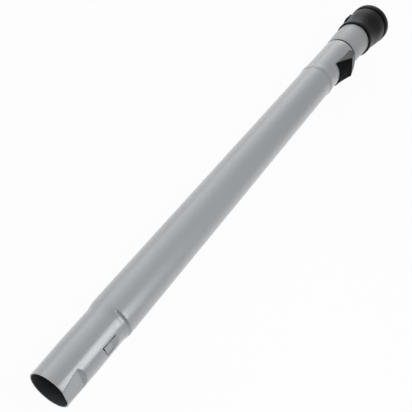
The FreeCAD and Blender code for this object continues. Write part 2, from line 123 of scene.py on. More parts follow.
def cut_with(piece, cutter):
    """The cutter is taken out of the piece and removed."""
    cut = piece.modifiers.new("cut", "BOOLEAN")
    cut.operation = "DIFFERENCE"
    cut.solver = "EXACT"
    cut.object = cutter
    apply_all(piece)
    bpy.data.objects.remove(cutter)


def block(name, low, high):
    """A box between two corners, in the drawing's millimetres."""
    bpy.ops.object.select_all(action="DESELECT")
    middle = [(a + b) / 2 * mm for a, b in zip(low, high)]
    bpy.ops.mesh.primitive_cube_add(size=1.0, location=middle)
    made = bpy.context.object
    made.name = made.data.name = name
    made.scale = [(b - a) * mm for a, b in zip(low, high)]
    bpy.ops.object.transform_apply(location=True, rotation=True, scale=True)
    return made


def soften(piece, width, angle=35.0, segments=3):
    """Edges sharper than the angle get a small round."""
    edge = piece.modifiers.new("edge", "BEVEL")
    edge.width = width * mm
    edge.segments = segments
    edge.limit_method = "ANGLE"
    edge.angle_limit = math.radians(angle)
    edge.use_clamp_overlap = True
    apply_all(piece)


def settle(piece, place, body, node, material, angle=32.0):
    """Finished mesh is moved to its place, shaded, painted and tied to its body."""
    piece.data.transform(place)
    piece.data.update()
    bpy.ops.object.select_all(action="DESELECT")
    bpy.context.view_layer.objects.active = piece
    piece.select_set(True)
    bpy.ops.object.shade_smooth_by_angle(angle=math.radians(angle))
    if piece.data.materials:
        piece.data.materials[0] = material
    else:
        piece.data.materials.append(material)
    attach(piece, body)
    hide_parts(node)


skin = [(0.0, spigot_mouth_r)]
x = 0.6
while x < pressed_to:
    r = spigot_mouth_r + (spigot_r - spigot_mouth_r) * min(1.0, x / taper_length)
    r += (tube_r - spigot_r) * ease((x - neck_from) / (neck_to - neck_from))
    skin.append((x, r))
    x += 0.7
for x in (110.0, 160.0, 210.0, 260.0, 310.0, 360.0, 410.0, 440.0):
    skin.append((x, tube_r))
for k in range(17):
    x = bead_at - 6.0 + 0.75 * k
    rise = ease((x - bead_at + 5.0) / 3.4)
    fall = ease((x - bead_at - 1.6) / 3.4)
    skin.append((x, tube_r + (bead_r - tube_r) * rise - (bead_r - bell_r) * fall))
for x in (470.0, 484.0, 498.0, 512.0, tube_end):
    skin.append((x, bell_r))
outer_tube = turn("outer_tube_skin", skin, 224)

bpy.ops.object.mode_set(mode="EDIT")
sheet_metal = bmesh.from_edit_mesh(outer_tube.data)
for v in sheet_metal.verts:
    x, y, z = (c / mm for c in v.co)
    if x > pressed_to or z < 0.0:
        continue
    if x < flat_to:
        ramp = 16.6 - 1.6 * min(1.0, (x + 3.5) / 18.5)
        ramp += max(0.0, x - 18.0) * 0.957
        z -= flat_blend * math.log1p(math.exp((z - ramp) / flat_blend))
    if 40.0 < x < 62.0:
        floor = pocket_floor + max(0.0, x - floor_level_to) * 0.32
        inside = ease((pocket_edge - y) / 0.45) * ease((y - pocket_far_edge) / 0.45)
        inside *= ease((x - pocket_from) / 0.4)
        z -= inside * max(0.0, z - floor)
    if 68.0 < x < 73.0:
        across = abs(x - crease_at) / crease_half
        turned = abs(math.degrees(math.atan2(y, z)))
        if across < 1.0:
            reach = crease_upper if y > 0.0 else crease_lower
            depth = crease_depth * math.cos(across * math.pi / 2) ** 2 * ease((reach - turned) / 8.0)
            r = math.hypot(y, z)
            y -= y / r * depth
            z -= z / r * depth
    v.co = (x * mm, y * mm, z * mm)
bmesh.update_edit_mesh(outer_tube.data)
bpy.ops.object.mode_set(mode="OBJECT")
outer_tube.data.transform(Matrix.Rotation(marks_turn, 4, "X"))
for finish in ("outside", "bore"):
    outer_tube.data.materials.append(None)
wall = outer_tube.modifiers.new("wall", "SOLIDIFY")
wall.thickness = tube_wall * mm
wall.offset = -1.0
wall.use_even_offset = True
wall.material_offset = 1
apply_all(outer_tube)
for low, high in (
    ((pocket_from, pocket_edge, shear_low), (shear_to, pocket_edge + shear_gap, shear_high)),
    ((pocket_from - shear_gap, -2.0, shear_low), (pocket_from, pocket_edge, shear_high)),
    ((pocket_from - 1.5, pocket_edge - 0.9, shear_low), (pocket_from + 1.3, pocket_edge + 1.5, shear_high)),
):
    shear = block("shear", low, high)
    for finish in ("outside", "bore"):
        shear.data.materials.append(None)
    # Painted shade: the slits' cut walls take the bore finish, which is near-black this far from the mouth.
    for face in shear.data.polygons:
        face.material_index = 1
    shear.data.transform(Matrix.Rotation(marks_turn, 4, "X"))
    cut_with(outer_tube, shear)
cut_with(outer_tube, block("front_slot", (483.7, -2.5, 16), (493.8, 2.5, 21)))
cut_with(outer_tube, block("rear_slot", (505.2, -2.5, 16), (520.0, 2.5, 21)))
cut_with(outer_tube, block("roller_window", (497.7, -5.8, 8), (503.3, 5.8, 21)))
soften(outer_tube, 0.14, 60.0, 2)


def new_material(name):
    made = bpy.data.materials.new(name)
    made.use_nodes = True
    nodes = made.node_tree.nodes
    return made, nodes, made.node_tree.links, nodes["Principled BSDF"]


def group_of(name, takes, gives):
    """An empty shader group with its named sockets."""
    made = bpy.data.node_groups.new(name, "ShaderNodeTree")
    for label, kind, value in takes:
        socket = made.interface.new_socket(label, in_out="INPUT", socket_type=kind)
        socket.default_value = value
    for label, kind in gives:
        made.interface.new_socket(label, in_out="OUTPUT", socket_type=kind)
    return made, made.nodes.new("NodeGroupInput"), made.nodes.new("NodeGroupOutput")


def place_group(nodes, made, **values):
    node = nodes.new("ShaderNodeGroup")
    node.node_tree = made
    for label, value in values.items():
        node.inputs[label.replace("_", " ")].default_value = value
    return node


# Shared effect: slow change of colour and gloss over a surface, as batches of lacquer or plastic show.
# Noise on Object coordinates, stretched along the wand, mixes two colours and two levels of gloss.
cloudy, cloudy_in, cloudy_out = group_of(
    "cloudy_finish",
    [
        ("Pale", "NodeSocketColor", (0.5, 0.5, 0.5, 1)),
        ("Deep", "NodeSocketColor", (0.4, 0.4, 0.4, 1)),
        ("Gloss low", "NodeSocketFloat", 0.3),
        ("Gloss high", "NodeSocketFloat", 0.4),
        ("Scale", "NodeSocketFloat", 40.0),
        ("Along", "NodeSocketFloat", 0.25),
    ],
    [("Color", "NodeSocketColor"), ("Roughness", "NodeSocketFloat")],
)
where = cloudy.nodes.new("ShaderNodeTexCoord")
stretch = cloudy.nodes.new("ShaderNodeCombineXYZ")
stretch.inputs["Y"].default_value = 1.0
stretch.inputs["Z"].default_value = 1.0
cloudy.links.new(cloudy_in.outputs["Along"], stretch.inputs["X"])
spread = cloudy.nodes.new("ShaderNodeVectorMath")
spread.operation = "MULTIPLY"
cloudy.links.new(where.outputs["Object"], spread.inputs[0])
cloudy.links.new(stretch.outputs[0], spread.inputs[1])
cloud = cloudy.nodes.new("ShaderNodeTexNoise")
cloud.inputs["Detail"].default_value = 6.0
cloud.inputs["Roughness"].default_value = 0.6
cloudy.links.new(spread.outputs[0], cloud.inputs["Vector"])
cloudy.links.new(cloudy_in.outputs["Scale"], cloud.inputs["Scale"])
tint = cloudy.nodes.new("ShaderNodeMix")
tint.data_type = "RGBA"
cloudy.links.new(cloud.outputs["Fac"], tint.inputs["Factor"])
cloudy.links.new(cloudy_in.outputs["Pale"], tint.inputs["A"])
cloudy.links.new(cloudy_in.outputs["Deep"], tint.inputs["B"])
gloss = cloudy.nodes.new("ShaderNodeMapRange")
gloss.inputs["From Min"].default_value = 0.3
gloss.inputs["From Max"].default_value = 0.7
cloudy.links.new(cloud.outputs["Fac"], gloss.inputs["Value"])
cloudy.links.new(cloudy_in.outputs["Gloss low"], gloss.inputs["To Min"])
cloudy.links.new(cloudy_in.outputs["Gloss high"], gloss.inputs["To Max"])
cloudy.links.new(tint.outputs["Result"], cloudy_out.inputs["Color"])
cloudy.links.new(gloss.outputs["Result"], cloudy_out.inputs["Roughness"])

# Shared effect: fine surface height, from lacquer's orange peel to a spark-eroded mould's grain.
# Smooth noise and small pits are blended, for a bump in each finish.
grain, grain_in, grain_out = group_of(
    "surface_grain",
    [("Scale", "NodeSocketFloat", 900.0), ("Pits", "NodeSocketFloat", 0.3)],
    [("Height", "NodeSocketFloat")],
)
where = grain.nodes.new("ShaderNodeTexCoord")
peel = grain.nodes.new("ShaderNodeTexNoise")
peel.inputs["Detail"].default_value = 4.0
pits = grain.nodes.new("ShaderNodeTexVoronoi")
grain.links.new(where.outputs["Object"], peel.inputs["Vector"])
grain.links.new(where.outputs["Object"], pits.inputs["Vector"])
grain.links.new(grain_in.outputs["Scale"], peel.inputs["Scale"])
grain.links.new(grain_in.outputs["Scale"], pits.inputs["Scale"])
level = grain.nodes.new("ShaderNodeMix")
level.data_type = "FLOAT"
grain.links.new(grain_in.outputs["Pits"], level.inputs["Factor"])
grain.links.new(peel.outputs["Fac"], level.inputs["A"])
grain.links.new(pits.outputs["Distance"], level.inputs["B"])
grain.links.new(level.outputs["Result"], grain_out.inputs["Height"])


def finish_of(name, pale, deep, gloss, scale, along, metallic, grain_scale, pits, height):
    """A finish with cloudy colour and gloss, and a fine grain in its normal."""
    made, nodes, links, shader = new_material(name)
    tone = place_group(
        nodes, cloudy, Pale=(*pale, 1), Deep=(*deep, 1), Gloss_low=gloss[0], Gloss_high=gloss[1],
        Scale=scale, Along=along,
    )
    links.new(tone.outputs["Color"], shader.inputs["Base Color"])
    links.new(tone.outputs["Roughness"], shader.inputs["Roughness"])
    shader.inputs["Metallic"].default_value = metallic
    fine = place_group(nodes, grain, Scale=grain_scale, Pits=pits)
    bump = nodes.new("ShaderNodeBump")
    bump.inputs["Distance"].default_value = height * mm
    bump.inputs["Strength"].default_value = 1.0
    links.new(fine.outputs["Height"], bump.inputs["Height"])
    links.new(bump.outputs["Normal"], shader.inputs["Normal"])
    return made, nodes, links, shader


lacquer, nodes, links, shader = finish_of(
    "silver_lacquer", pale=(0.42, 0.443, 0.464), deep=(0.395, 0.417, 0.437), gloss=(0.26, 0.31),
    scale=30.0, along=0.2, metallic=0.15, grain_scale=1500.0, pits=0.1, height=0.02,
)
where = nodes.new("ShaderNodeTexCoord")
along = nodes.new("ShaderNodeSeparateXYZ")
links.new(where.outputs["Object"], along.inputs[0])
past_neck = nodes.new("ShaderNodeMapRange")
past_neck.interpolation_type = "SMOOTHSTEP"
past_neck.inputs["From Min"].default_value = 66.0 * mm
past_neck.inputs["From Max"].default_value = 80.0 * mm
past_neck.inputs["To Max"].default_value = 0.1
links.new(along.outputs["X"], past_neck.inputs["Value"])
rubbed = nodes.new("ShaderNodeMath")
links.new(shader.inputs["Roughness"].links[0].from_socket, rubbed.inputs[0])
links.new(past_neck.outputs["Result"], rubbed.inputs[1])
links.new(rubbed.outputs[0], shader.inputs["Roughness"])
shader.inputs["Coat Weight"].default_value = 0.85
shader.inputs["Coat Roughness"].default_value = 0.22
settle(outer_tube, lay, "outer", "outer_tube", lacquer, 40.0)
# Bore finish: unpainted steel inside the outer tube, with painted shade: its colour darkens from the mouth to
# near-black 26 mm in.
bore_steel_painted_shade, nodes, links, shader = finish_of(
    "unpainted_bore_painted_shade", pale=(0.20, 0.21, 0.22), deep=(0.15, 0.158, 0.165), gloss=(0.5, 0.65),
    scale=80.0, along=0.2, metallic=0.3, grain_scale=900.0, pits=0.2, height=0.03,
)
outer_tube.data.materials[1] = bore_steel_painted_shade
where = nodes.new("ShaderNodeTexCoord")
along = nodes.new("ShaderNodeSeparateXYZ")
links.new(where.outputs["Object"], along.inputs[0])
shade_past_mouth = nodes.new("ShaderNodeMapRange")
shade_past_mouth.inputs["From Max"].default_value = 26.0 * mm
links.new(along.outputs["X"], shade_past_mouth.inputs["Value"])
# Painted shade: past the mouth the bore's colour is mixed towards near-black.
painted_bore_shade = nodes.new("ShaderNodeMix")
painted_bore_shade.data_type = "RGBA"
painted_bore_shade.inputs["B"].default_value = (0.004, 0.004, 0.004, 1)
links.new(shade_past_mouth.outputs["Result"], painted_bore_shade.inputs["Factor"])
links.new(shader.inputs["Base Color"].links[0].from_socket, painted_bore_shade.inputs["A"])
links.new(painted_bore_shade.outputs["Result"], shader.inputs["Base Color"])

# Guide bush: the black plastic bearing of the inner tube, moulded and snapped into the outer tube's end.
# Only its flange shows, at the seam. A ring of pressed felt in it wipes the inner tube.
black_plastic, nodes, links, shader = finish_of(
    "black_moulding", pale=(0.005, 0.005, 0.0053), deep=(0.003, 0.003, 0.0032), gloss=(0.30, 0.38),
    scale=60.0, along=1.0, metallic=0.0, grain_scale=2600.0, pits=0.5, height=0.02,
)
shader.inputs["Specular IOR Level"].default_value = 0.16
felt, nodes, links, shader = finish_of(
    "pressed_felt", pale=(0.16, 0.16, 0.165), deep=(0.08, 0.08, 0.085), gloss=(0.9, 1.0),
    scale=700.0, along=1.0, metallic=0.0, grain_scale=1800.0, pits=0.2, height=0.25,
)
bush_plastic, nodes, links, shader = finish_of(
    "bush_moulding", pale=(0.008, 0.008, 0.0083), deep=(0.004, 0.004, 0.0042), gloss=(0.55, 0.65),
    scale=70.0, along=1.0, metallic=0.0, grain_scale=2400.0, pits=0.4, height=0.02,
)
shader.inputs["Specular IOR Level"].default_value = 0.05


def paint(name, material):
    """A CAD node keeps its mesh and gets its finish."""
    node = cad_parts[name]
    node.data.materials.clear()
    node.data.materials.append(material)


paint("guide_bush", bush_plastic)
paint("wiper_ring", felt)

# Lock roller: a ground steel pin across the tube, under the trigger, that drops into a notch of the inner tube.
# It lies in the bush's window and is lifted by the trigger's ramp.
bare_steel, nodes, links, shader = finish_of(
    "bare_steel", pale=(0.56, 0.56, 0.57), deep=(0.48, 0.48, 0.49), gloss=(0.22, 0.36),
    scale=300.0, along=0.4, metallic=1.0, grain_scale=3000.0, pits=0.1, height=0.01,
)
paint("lock_roller", bare_steel)

# Release trigger: one black plastic moulding, a saddle on the bell with a scooped, ribbed ramp up to a crest.
# Two hooked feet go through the tube's slots and hold it down.
trigger_from = 480.0
trigger_crest = 503.5
trigger_to = 520.0
under_r = bell_r + 0.3
toe_r = under_r + 1.1
crest_up = bell_r + 5.9
back_up = bell_r + 2.9
# Trigger finish: the same black plastic as the other mouldings, given a lighter base on the sides and back as painted
# light.
trigger_painted_light, nodes, links, shader = finish_of(
    "trigger_moulding_painted_light", pale=(0.024, 0.024, 0.0255), deep=(0.016, 0.016, 0.017), gloss=(0.36, 0.44),
    scale=90.0, along=1.0, metallic=0.0, grain_scale=2600.0, pits=0.5, height=0.03,
)
# Grip finish: a darker base on the ramp and front face as painted shade between the ribs, with duller gloss.
grip_painted_shade, nodes, links, shader = finish_of(
    "ribbed_grip_painted_shade", pale=(0.010, 0.010, 0.0105), deep=(0.007, 0.007, 0.0074), gloss=(0.60, 0.70),
    scale=120.0, along=1.0, metallic=0.0, grain_scale=3200.0, pits=0.6, height=0.015,
)
shader.inputs["Specular IOR Level"].default_value = 0.06
bpy.ops.object.select_all(action="DESELECT")
bpy.ops.mesh.primitive_cube_add(size=2.0, location=(0, 0, 0))
trigger = bpy.context.object
trigger.name = trigger.data.name = "release_trigger_moulding"
bpy.ops.object.mode_set(mode="EDIT")
shape = bmesh.from_edit_mesh(trigger.data)
bpy.ops.mesh.select_all(action="DESELECT")
for edge in shape.edges:
    a, b = edge.verts
    edge.select = abs(a.co.x - b.co.x) > 1.0
bpy.ops.mesh.subdivide(number_cuts=95)
bpy.ops.mesh.select_all(action="DESELECT")
shape = bmesh.from_edit_mesh(trigger.data)
for edge in shape.edges:
    a, b = edge.verts
    edge.select = abs(a.co.y - b.co.y) > 1.0
bpy.ops.mesh.subdivide(number_cuts=31)
for finish in (trigger_painted_light, grip_painted_shade):
    trigger.data.materials.append(finish)
shape = bmesh.from_edit_mesh(trigger.data)
# The ramp's top and the front face take the darker finish as painted shade; the sides and back take the lighter one as
# painted light.
for face in shape.faces:
    middle = face.calc_center_median()
    face.material_index = int(middle.x < -0.99 or (middle.z > 0.9 and middle.x < 0.175))
for v in shape.verts:
    along, across, up = v.co
    x = trigger_from + (along + 1.0) / 2 * (trigger_to - trigger_from)
    if x <= trigger_crest:
        t = (x - trigger_from) / (trigger_crest - trigger_from)
        half_angle = 46.4 - 6.0 * t
        side_y = toe_r * math.sin(math.radians(46.4)) * (1 - t) + 11.75 * t
        side_z = toe_r * math.cos(math.radians(46.4)) * (1 - t) + (crest_up - 0.7) * t
        crown_z = toe_r * (1 - t) + crest_up * t
        dip = 0.75 * 4 * t * (1 - t) * ease(t / 0.15) * ease((1 - t) / 0.12)
        rib = 0.32 * max(0.0, math.sin((t - 0.09) / 0.82 * 6.5 * 2 * math.pi)) * (0.09 < t < 0.91)
    else:
        t = (x - trigger_crest) / (trigger_to - trigger_crest)
        half_angle = 40.4
        side_y = 11.75 - 0.4 * t
        side_z = (crest_up - 0.7) * (1 - t) + (back_up - 1.0) * t
        crown_z = crest_up * (1 - t) + back_up * t
        dip = rib = 0.0
    if up < 0:
        turn_by = math.radians(half_angle) * across
        y = under_r * math.sin(turn_by)
        z = under_r * math.cos(turn_by)
    else:
        y = side_y * across
        z = side_z + (crown_z - side_z) * (1 - across * across) - dip - rib
        floor = math.sqrt(max(0.0, under_r * under_r - y * y)) + 0.6
        z = max(z, floor)
    v.co = (x * mm, y * mm, z * mm)
bmesh.update_edit_mesh(trigger.data)
bpy.ops.mesh.select_all(action="SELECT")
bpy.ops.mesh.normals_make_consistent(inside=False)
bpy.ops.object.mode_set(mode="OBJECT")
soften(trigger, 0.45, 50.0, 3)


def slab(name, outline, half_width):
    """An outline in XZ is filled and carried across, the same to each side."""
    bpy.ops.object.select_all(action="DESELECT")
    bpy.ops.mesh.primitive_circle_add(vertices=len(outline), radius=1.0, fill_type="NGON")
    made = bpy.context.object
    made.name = made.data.name = name
    bpy.ops.object.mode_set(mode="EDIT")
    profile = bmesh.from_edit_mesh(made.data)
    profile.verts.ensure_lookup_table()
    for v, (x, z) in zip(profile.verts, outline):
        v.co = (x * mm, -half_width * mm, z * mm)
    bmesh.update_edit_mesh(made.data)
    bpy.ops.mesh.select_all(action="SELECT")
    bpy.ops.mesh.extrude_region()
    bpy.ops.transform.translate(value=(0, 2 * half_width * mm, 0))
    bpy.ops.mesh.select_all(action="SELECT")
    bpy.ops.mesh.normals_make_consistent(inside=False)
    bpy.ops.object.mode_set(mode="OBJECT")
    return made


def drill(name, middle, radius, length, axis):
    """A round cutter on X or Y."""
    bpy.ops.object.select_all(action="DESELECT")
    turned = (0, math.pi / 2, 0) if axis == "X" else (math.pi / 2, 0, 0)
    bpy.ops.mesh.primitive_cylinder_add(
        vertices=40, radius=radius * mm, depth=length * mm, location=[c * mm for c in middle], rotation=turned
    )
    made = bpy.context.object
    made.name = made.data.name = name
    bpy.ops.object.transform_apply(location=True, rotation=True, scale=True)
    return made


roller_room_r = 2.8
spring_up = 18.956
roller_path = [(491.7, 12.0), (503.3, 12.0)]
for mid_x, mid_z, degrees in (
    (500.5, 16.98, (0, 24, 49, 73.7)),
    (494.5, 18.73, (73.7, 100, 127, 153, 180)),
):
    for angle in map(math.radians, degrees):
        roller_path.append((mid_x + roller_room_r * math.cos(angle), mid_z + roller_room_r * math.sin(angle)))
cut_with(trigger, slab("roller_path", roller_path, 5.8))
cut_with(trigger, drill("spring_room", (515.5, 0, spring_up), 1.8, 13.0, "X"))
feet = []
for at in (484.0, 505.5):
    feet.append(block("trigger_foot", (at, -2.2, 17.9), (at + 3.5, 2.2, 20.2)))
    feet.append(block("trigger_hook", (at, -3.8, 17.5), (at + 3.5, 3.8, 18.2)))
bpy.ops.object.select_all(action="DESELECT")
for foot in feet:
    foot.select_set(True)
trigger.select_set(True)
bpy.context.view_layer.objects.active = trigger
bpy.ops.object.join()
settle(trigger, lay, "trigger", "release_trigger", trigger_painted_light, 30.0)

# Trigger spring: a coil of drawn steel wire, between the trigger's rear foot and the end of the tube's slot.
# In the wand it shortens as the trigger is pushed; here it moves with the trigger and keeps its length.
spring_from = 509.0
spring_length = 10.9


def coil(name, wire_dia, outer_dia, length, turns):
    """A ring of wire section is screwed up Z from zero, and its two ends are closed."""
    bpy.ops.object.select_all(action="DESELECT")
    mean_r = (outer_dia - wire_dia) / 2
    bpy.ops.mesh.primitive_circle_add(
        vertices=10, radius=wire_dia / 2 * mm, location=(mean_r * mm, 0, wire_dia / 2 * mm),
        rotation=(math.pi / 2, 0, 0),
    )
    made = bpy.context.object
    made.name = made.data.name = name
    bpy.ops.object.transform_apply(location=True, rotation=True, scale=True)
    wound = made.modifiers.new("wound", "SCREW")
    wound.axis = "Z"
    wound.iterations = turns
    wound.screw_offset = (length - wire_dia) / turns * mm
    wound.steps = wound.render_steps = 24
    wound.use_merge_vertices = False
    apply_all(made)
    bpy.ops.object.mode_set(mode="EDIT")
    bpy.ops.mesh.select_all(action="SELECT")
    bpy.ops.mesh.remove_doubles(threshold=1e-7)
    bpy.ops.mesh.select_all(action="SELECT")
    bpy.ops.mesh.fill_holes(sides=0)
    bpy.ops.mesh.select_all(action="SELECT")
    bpy.ops.mesh.normals_make_consistent(inside=False)
    bpy.ops.object.mode_set(mode="OBJECT")
    return made


trigger_spring = coil("trigger_spring_wire", 0.55, 3.0, spring_length, 7)
along_x = Matrix.Translation((spring_from * mm, 0, spring_up * mm)) @ Matrix.Rotation(math.pi / 2, 4, "Y")
settle(trigger_spring, lay @ along_x, "trigger", "trigger_spring", bare_steel, 40.0)
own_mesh(trigger_spring)

# Inner tube: thin drawn steel, bright plated, with a row of cross notches pressed in for the lock roller.
# It slides in the guide bush and carries the cuff on its outer end.
inner_r = 16.0
inner_from = 81.3
inner_to = 556.0
notch_first = 500.5
notch_pitch = 29.0
notch_last = 12
notch_blend = 0.12
rings = [(inner_from, inner_r)]
for k in range(notch_last, -1, -1):
    notch_at = notch_first - notch_pitch * k
    for step in range(-7, 8):
        rings.append((notch_at + 0.55 * step, inner_r))
rings += [(530.0, inner_r), (inner_to, inner_r)]
inner_tube = turn("inner_tube_skin", rings, 160)
bpy.ops.object.mode_set(mode="EDIT")
sheet_metal = bmesh.from_edit_mesh(inner_tube.data)
for v in sheet_metal.verts:
    x, y, z = (c / mm for c in v.co)
    nearest = notch_first - notch_pitch * max(0, min(notch_last, round((notch_first - x) / notch_pitch)))
    off = abs(x - nearest)
    if z > 0 and off < 3.2:
        floor = 17.4 - math.sqrt(max(0.0, 9.0 - off * off))
        if z > floor:
            z -= notch_blend * math.log1p(math.exp((z - floor) / notch_blend))
            v.co.z = z * mm
bmesh.update_edit_mesh(inner_tube.data)
bpy.ops.object.mode_set(mode="OBJECT")
wall = inner_tube.modifiers.new("wall", "SOLIDIFY")
wall.thickness = 0.7 * mm
wall.offset = -1.0
apply_all(inner_tube)
soften(inner_tube, 0.12, 60.0, 2)
plating, nodes, links, shader = finish_of(
    "bright_plating", pale=(0.74, 0.74, 0.755), deep=(0.66, 0.665, 0.68), gloss=(0.10, 0.17),
    scale=25.0, along=0.15, metallic=1.0, grain_scale=1200.0, pits=0.1, height=0.006,
)
settle(inner_tube, lay, "inner", "inner_tube", plating, 40.0)

# Tail bush: a black moulded ring on the inner tube's tail, running in the outer tube and stopping at the guide bush.
# A seal of pressed felt lies round it.
paint("tail_bush", bush_plastic)
paint("tail_seal", felt)

# Cuff: grey plastic moulding fixed on the inner tube's end, cranked a little towards the trigger.
# Its far half is the hose socket, with a window in the wall for the latch's hook.
bend_at = 552.0
bend = math.radians(4.0)
cuff_outer = [(526.9, 19.1), (527.2, 19.45), (527.9, 19.63), (535.0, 19.93), (542.0, 20.2), (547.0, 20.4)]
cuff_outer += [(548.0 + k, 20.42 + 0.08 * ease(k / 3.0)) for k in range(0, 11)]
cuff_outer += [(566.0, 20.5), (590.0, 20.5), (615.0, 20.5), (615.4, 20.1)]
cuff_inner = [(615.4, 18.3), (615.1, 18.0), (574.2, 18.0), (574.0, 17.6), (559.3, 17.6), (559.0, 17.3)]
cuff_inner += [(559.0, 15.4), (558.8, 15.3), (556.0, 15.3)]
cuff_inner += [(556.0, 16.03), (548.0, 16.03), (538.0, 16.03), (526.9, 16.03)]
cuff = turn("cuff_moulding", cuff_outer + cuff_inner + [(526.9, 19.1)], 192, True)
bpy.ops.object.mode_set(mode="EDIT")
moulding = bmesh.from_edit_mesh(cuff.data)
for v in moulding.verts:
    x, y, z = (c / mm for c in v.co)
    share = ease((x - bend_at + 4.0) / 8.0)
    r = math.hypot(y, z)
    if r < 15.7 or r < 16.5 and x < 556.5:
        share = 0.0
    turned = bend * share
    along = x - bend_at
    v.co = (
        (bend_at + along * math.cos(turned) - z * math.sin(turned)) * mm,
        y * mm,
        (along * math.sin(turned) + z * math.cos(turned)) * mm,
    )
bmesh.update_edit_mesh(cuff.data)
bpy.ops.object.mode_set(mode="OBJECT")
crank = Matrix.Translation((bend_at * mm, 0, 0)) @ Matrix.Rotation(-bend, 4, "Y")
flip = Matrix.Rotation(math.pi, 4, "X")
hook_window = block("hook_window", (24.3, -5.3, 8.8), (28.6, 5.3, 30.0))
hook_window.data.transform(crank @ flip)
cut_with(cuff, hook_window)
grey_plastic, nodes, links, shader = finish_of(
    "grey_moulding", pale=(0.455, 0.47, 0.493), deep=(0.435, 0.449, 0.471), gloss=(0.28, 0.36),
    scale=45.0, along=1.0, metallic=0.1, grain_scale=1900.0, pits=0.3, height=0.02,
)
settle(cuff, lay, "inner", "cuff", grey_plastic, 35.0)

# Coupler sleeve: black moulding over the cuff with a rolled lip, a waist and a shoulder.
# The side away from the trigger is open for the latch, between two ears.
sleeve_outer = [(16.0, 21.8), (16.15, 22.25), (16.6, 22.6), (17.3, 22.7), (19.5, 22.7)]
sleeve_outer += [(21.0 + k, 22.7 - 0.4 * ease(k / 4.0)) for k in range(0, 5)]
sleeve_outer += [(28.0, 22.3)]
sleeve_outer += [(30.4 + 2.0 * k, 22.3 + 1.5 * ease(k / 10.0)) for k in range(0, 11)]
sleeve_outer += [(54.0, 23.8), (57.0, 23.8), (57.5, 23.65), (57.8, 23.3), (57.8, 21.93), (60.4, 21.93)]
sleeve = turn("coupler_sleeve_moulding", sleeve_outer + [(60.4, 20.53), (16.0, 20.53), (16.0, 21.8)], 192, True)


def sector(name, outline, half_angle):
    """An outline in XZ is filled and spun about the coupler's axis, the same to each side."""
    bpy.ops.object.select_all(action="DESELECT")
    bpy.ops.mesh.primitive_circle_add(vertices=len(outline), radius=1.0, fill_type="NGON")
    made = bpy.context.object
    made.name = made.data.name = name
    bpy.ops.object.mode_set(mode="EDIT")
    profile = bmesh.from_edit_mesh(made.data)
    profile.verts.ensure_lookup_table()
    start = math.radians(half_angle)
    for v, (x, z) in zip(profile.verts, outline):
        v.co = (x * mm, z * math.sin(start) * mm, z * math.cos(start) * mm)
    bmesh.update_edit_mesh(made.data)
    bpy.ops.mesh.select_all(action="SELECT")
    bpy.ops.mesh.spin(steps=24, angle=-2 * start, center=(0, 0, 0), axis=(1, 0, 0))
    bpy.ops.mesh.select_all(action="SELECT")
    bpy.ops.mesh.normals_make_consistent(inside=False)
    bpy.ops.object.mode_set(mode="OBJECT")
    return made


pin_at = 36.9
pin_up = 22.0
ears = []
for side in (-1, 1):
    low = 5.3 if side > 0 else -7.7
    ear = block("latch_ear", (33.3, low, 21.0), (40.5, low + 2.4, 23.9))
    bpy.ops.object.mode_set(mode="EDIT")
    bpy.ops.mesh.select_all(action="DESELECT")
    ear_mesh = bmesh.from_edit_mesh(ear.data)
    for v in ear_mesh.verts:
        v.select = v.co.z > 22.5 * mm
    ear_mesh.select_flush(True)
    bpy.ops.transform.resize(value=(0.62, 1, 1), center_override=(pin_at * mm, 0, 23.9 * mm))
    bpy.ops.object.mode_set(mode="OBJECT")
    ear.data.transform(flip)
    ears.append(ear)
opening = block("latch_opening", (23.8, -5.3, 16.0), (56.8, 5.3, 30.0))
opening.data.transform(flip)
cut_with(sleeve, opening)
deck = sector("button_deck", [(40.8, 21.43), (56.8, 21.43), (56.8, 30.0), (40.8, 30.0)], 31.8)
deck.data.transform(flip)
cut_with(sleeve, deck)
soften(sleeve, 0.3, 40.0, 2)
for ear in ears:
    soften(ear, 0.5, 40.0, 3)
    cut_with(ear, drill("pin_hole", (pin_at, 0, -pin_up), 1.03, 30.0, "Y"))
bpy.ops.object.select_all(action="DESELECT")
for ear in ears:
    ear.select_set(True)
sleeve.select_set(True)
bpy.context.view_layer.objects.active = sleeve
bpy.ops.object.join()
settle(sleeve, lay @ crank, "inner", "coupler_sleeve", black_plastic, 32.0)

# Mouth ring: black moulded cap on the coupler's end, lapping over it, with a fine groove round it.
# It holds the socket's seal, a ring of black rubber.
ring_outer = [(58.6, 21.96), (58.6, 23.9), (58.9, 24.5), (59.5, 24.75), (60.8, 24.75)]
ring_outer += [(61.0, 24.62), (61.0, 24.25)]
ring_outer += [(61.8, 24.25), (61.8, 24.62), (62.0, 24.75), (65.8, 24.75), (66.5, 24.5), (67.0, 23.9)]
ring_inner = [(67.0, 18.7), (66.7, 18.2), (66.2, 18.0), (65.6, 18.0)]
ring_inner += [(65.6, 20.53), (60.4, 20.53), (60.4, 21.96), (58.6, 21.96)]
mouth_ring = turn("mouth_ring_moulding", ring_outer + ring_inner, 192, True)
settle(mouth_ring, lay @ crank, "inner", "mouth_ring", black_plastic, 32.0)
rubber, nodes, links, shader = finish_of(
    "seal_rubber", pale=(0.022, 0.022, 0.023), deep=(0.014, 0.014, 0.014), gloss=(0.6, 0.75),
    scale=90.0, along=1.0, metallic=0.0, grain_scale=2200.0, pits=0.3, height=0.03,
)
paint("socket_seal", rubber)

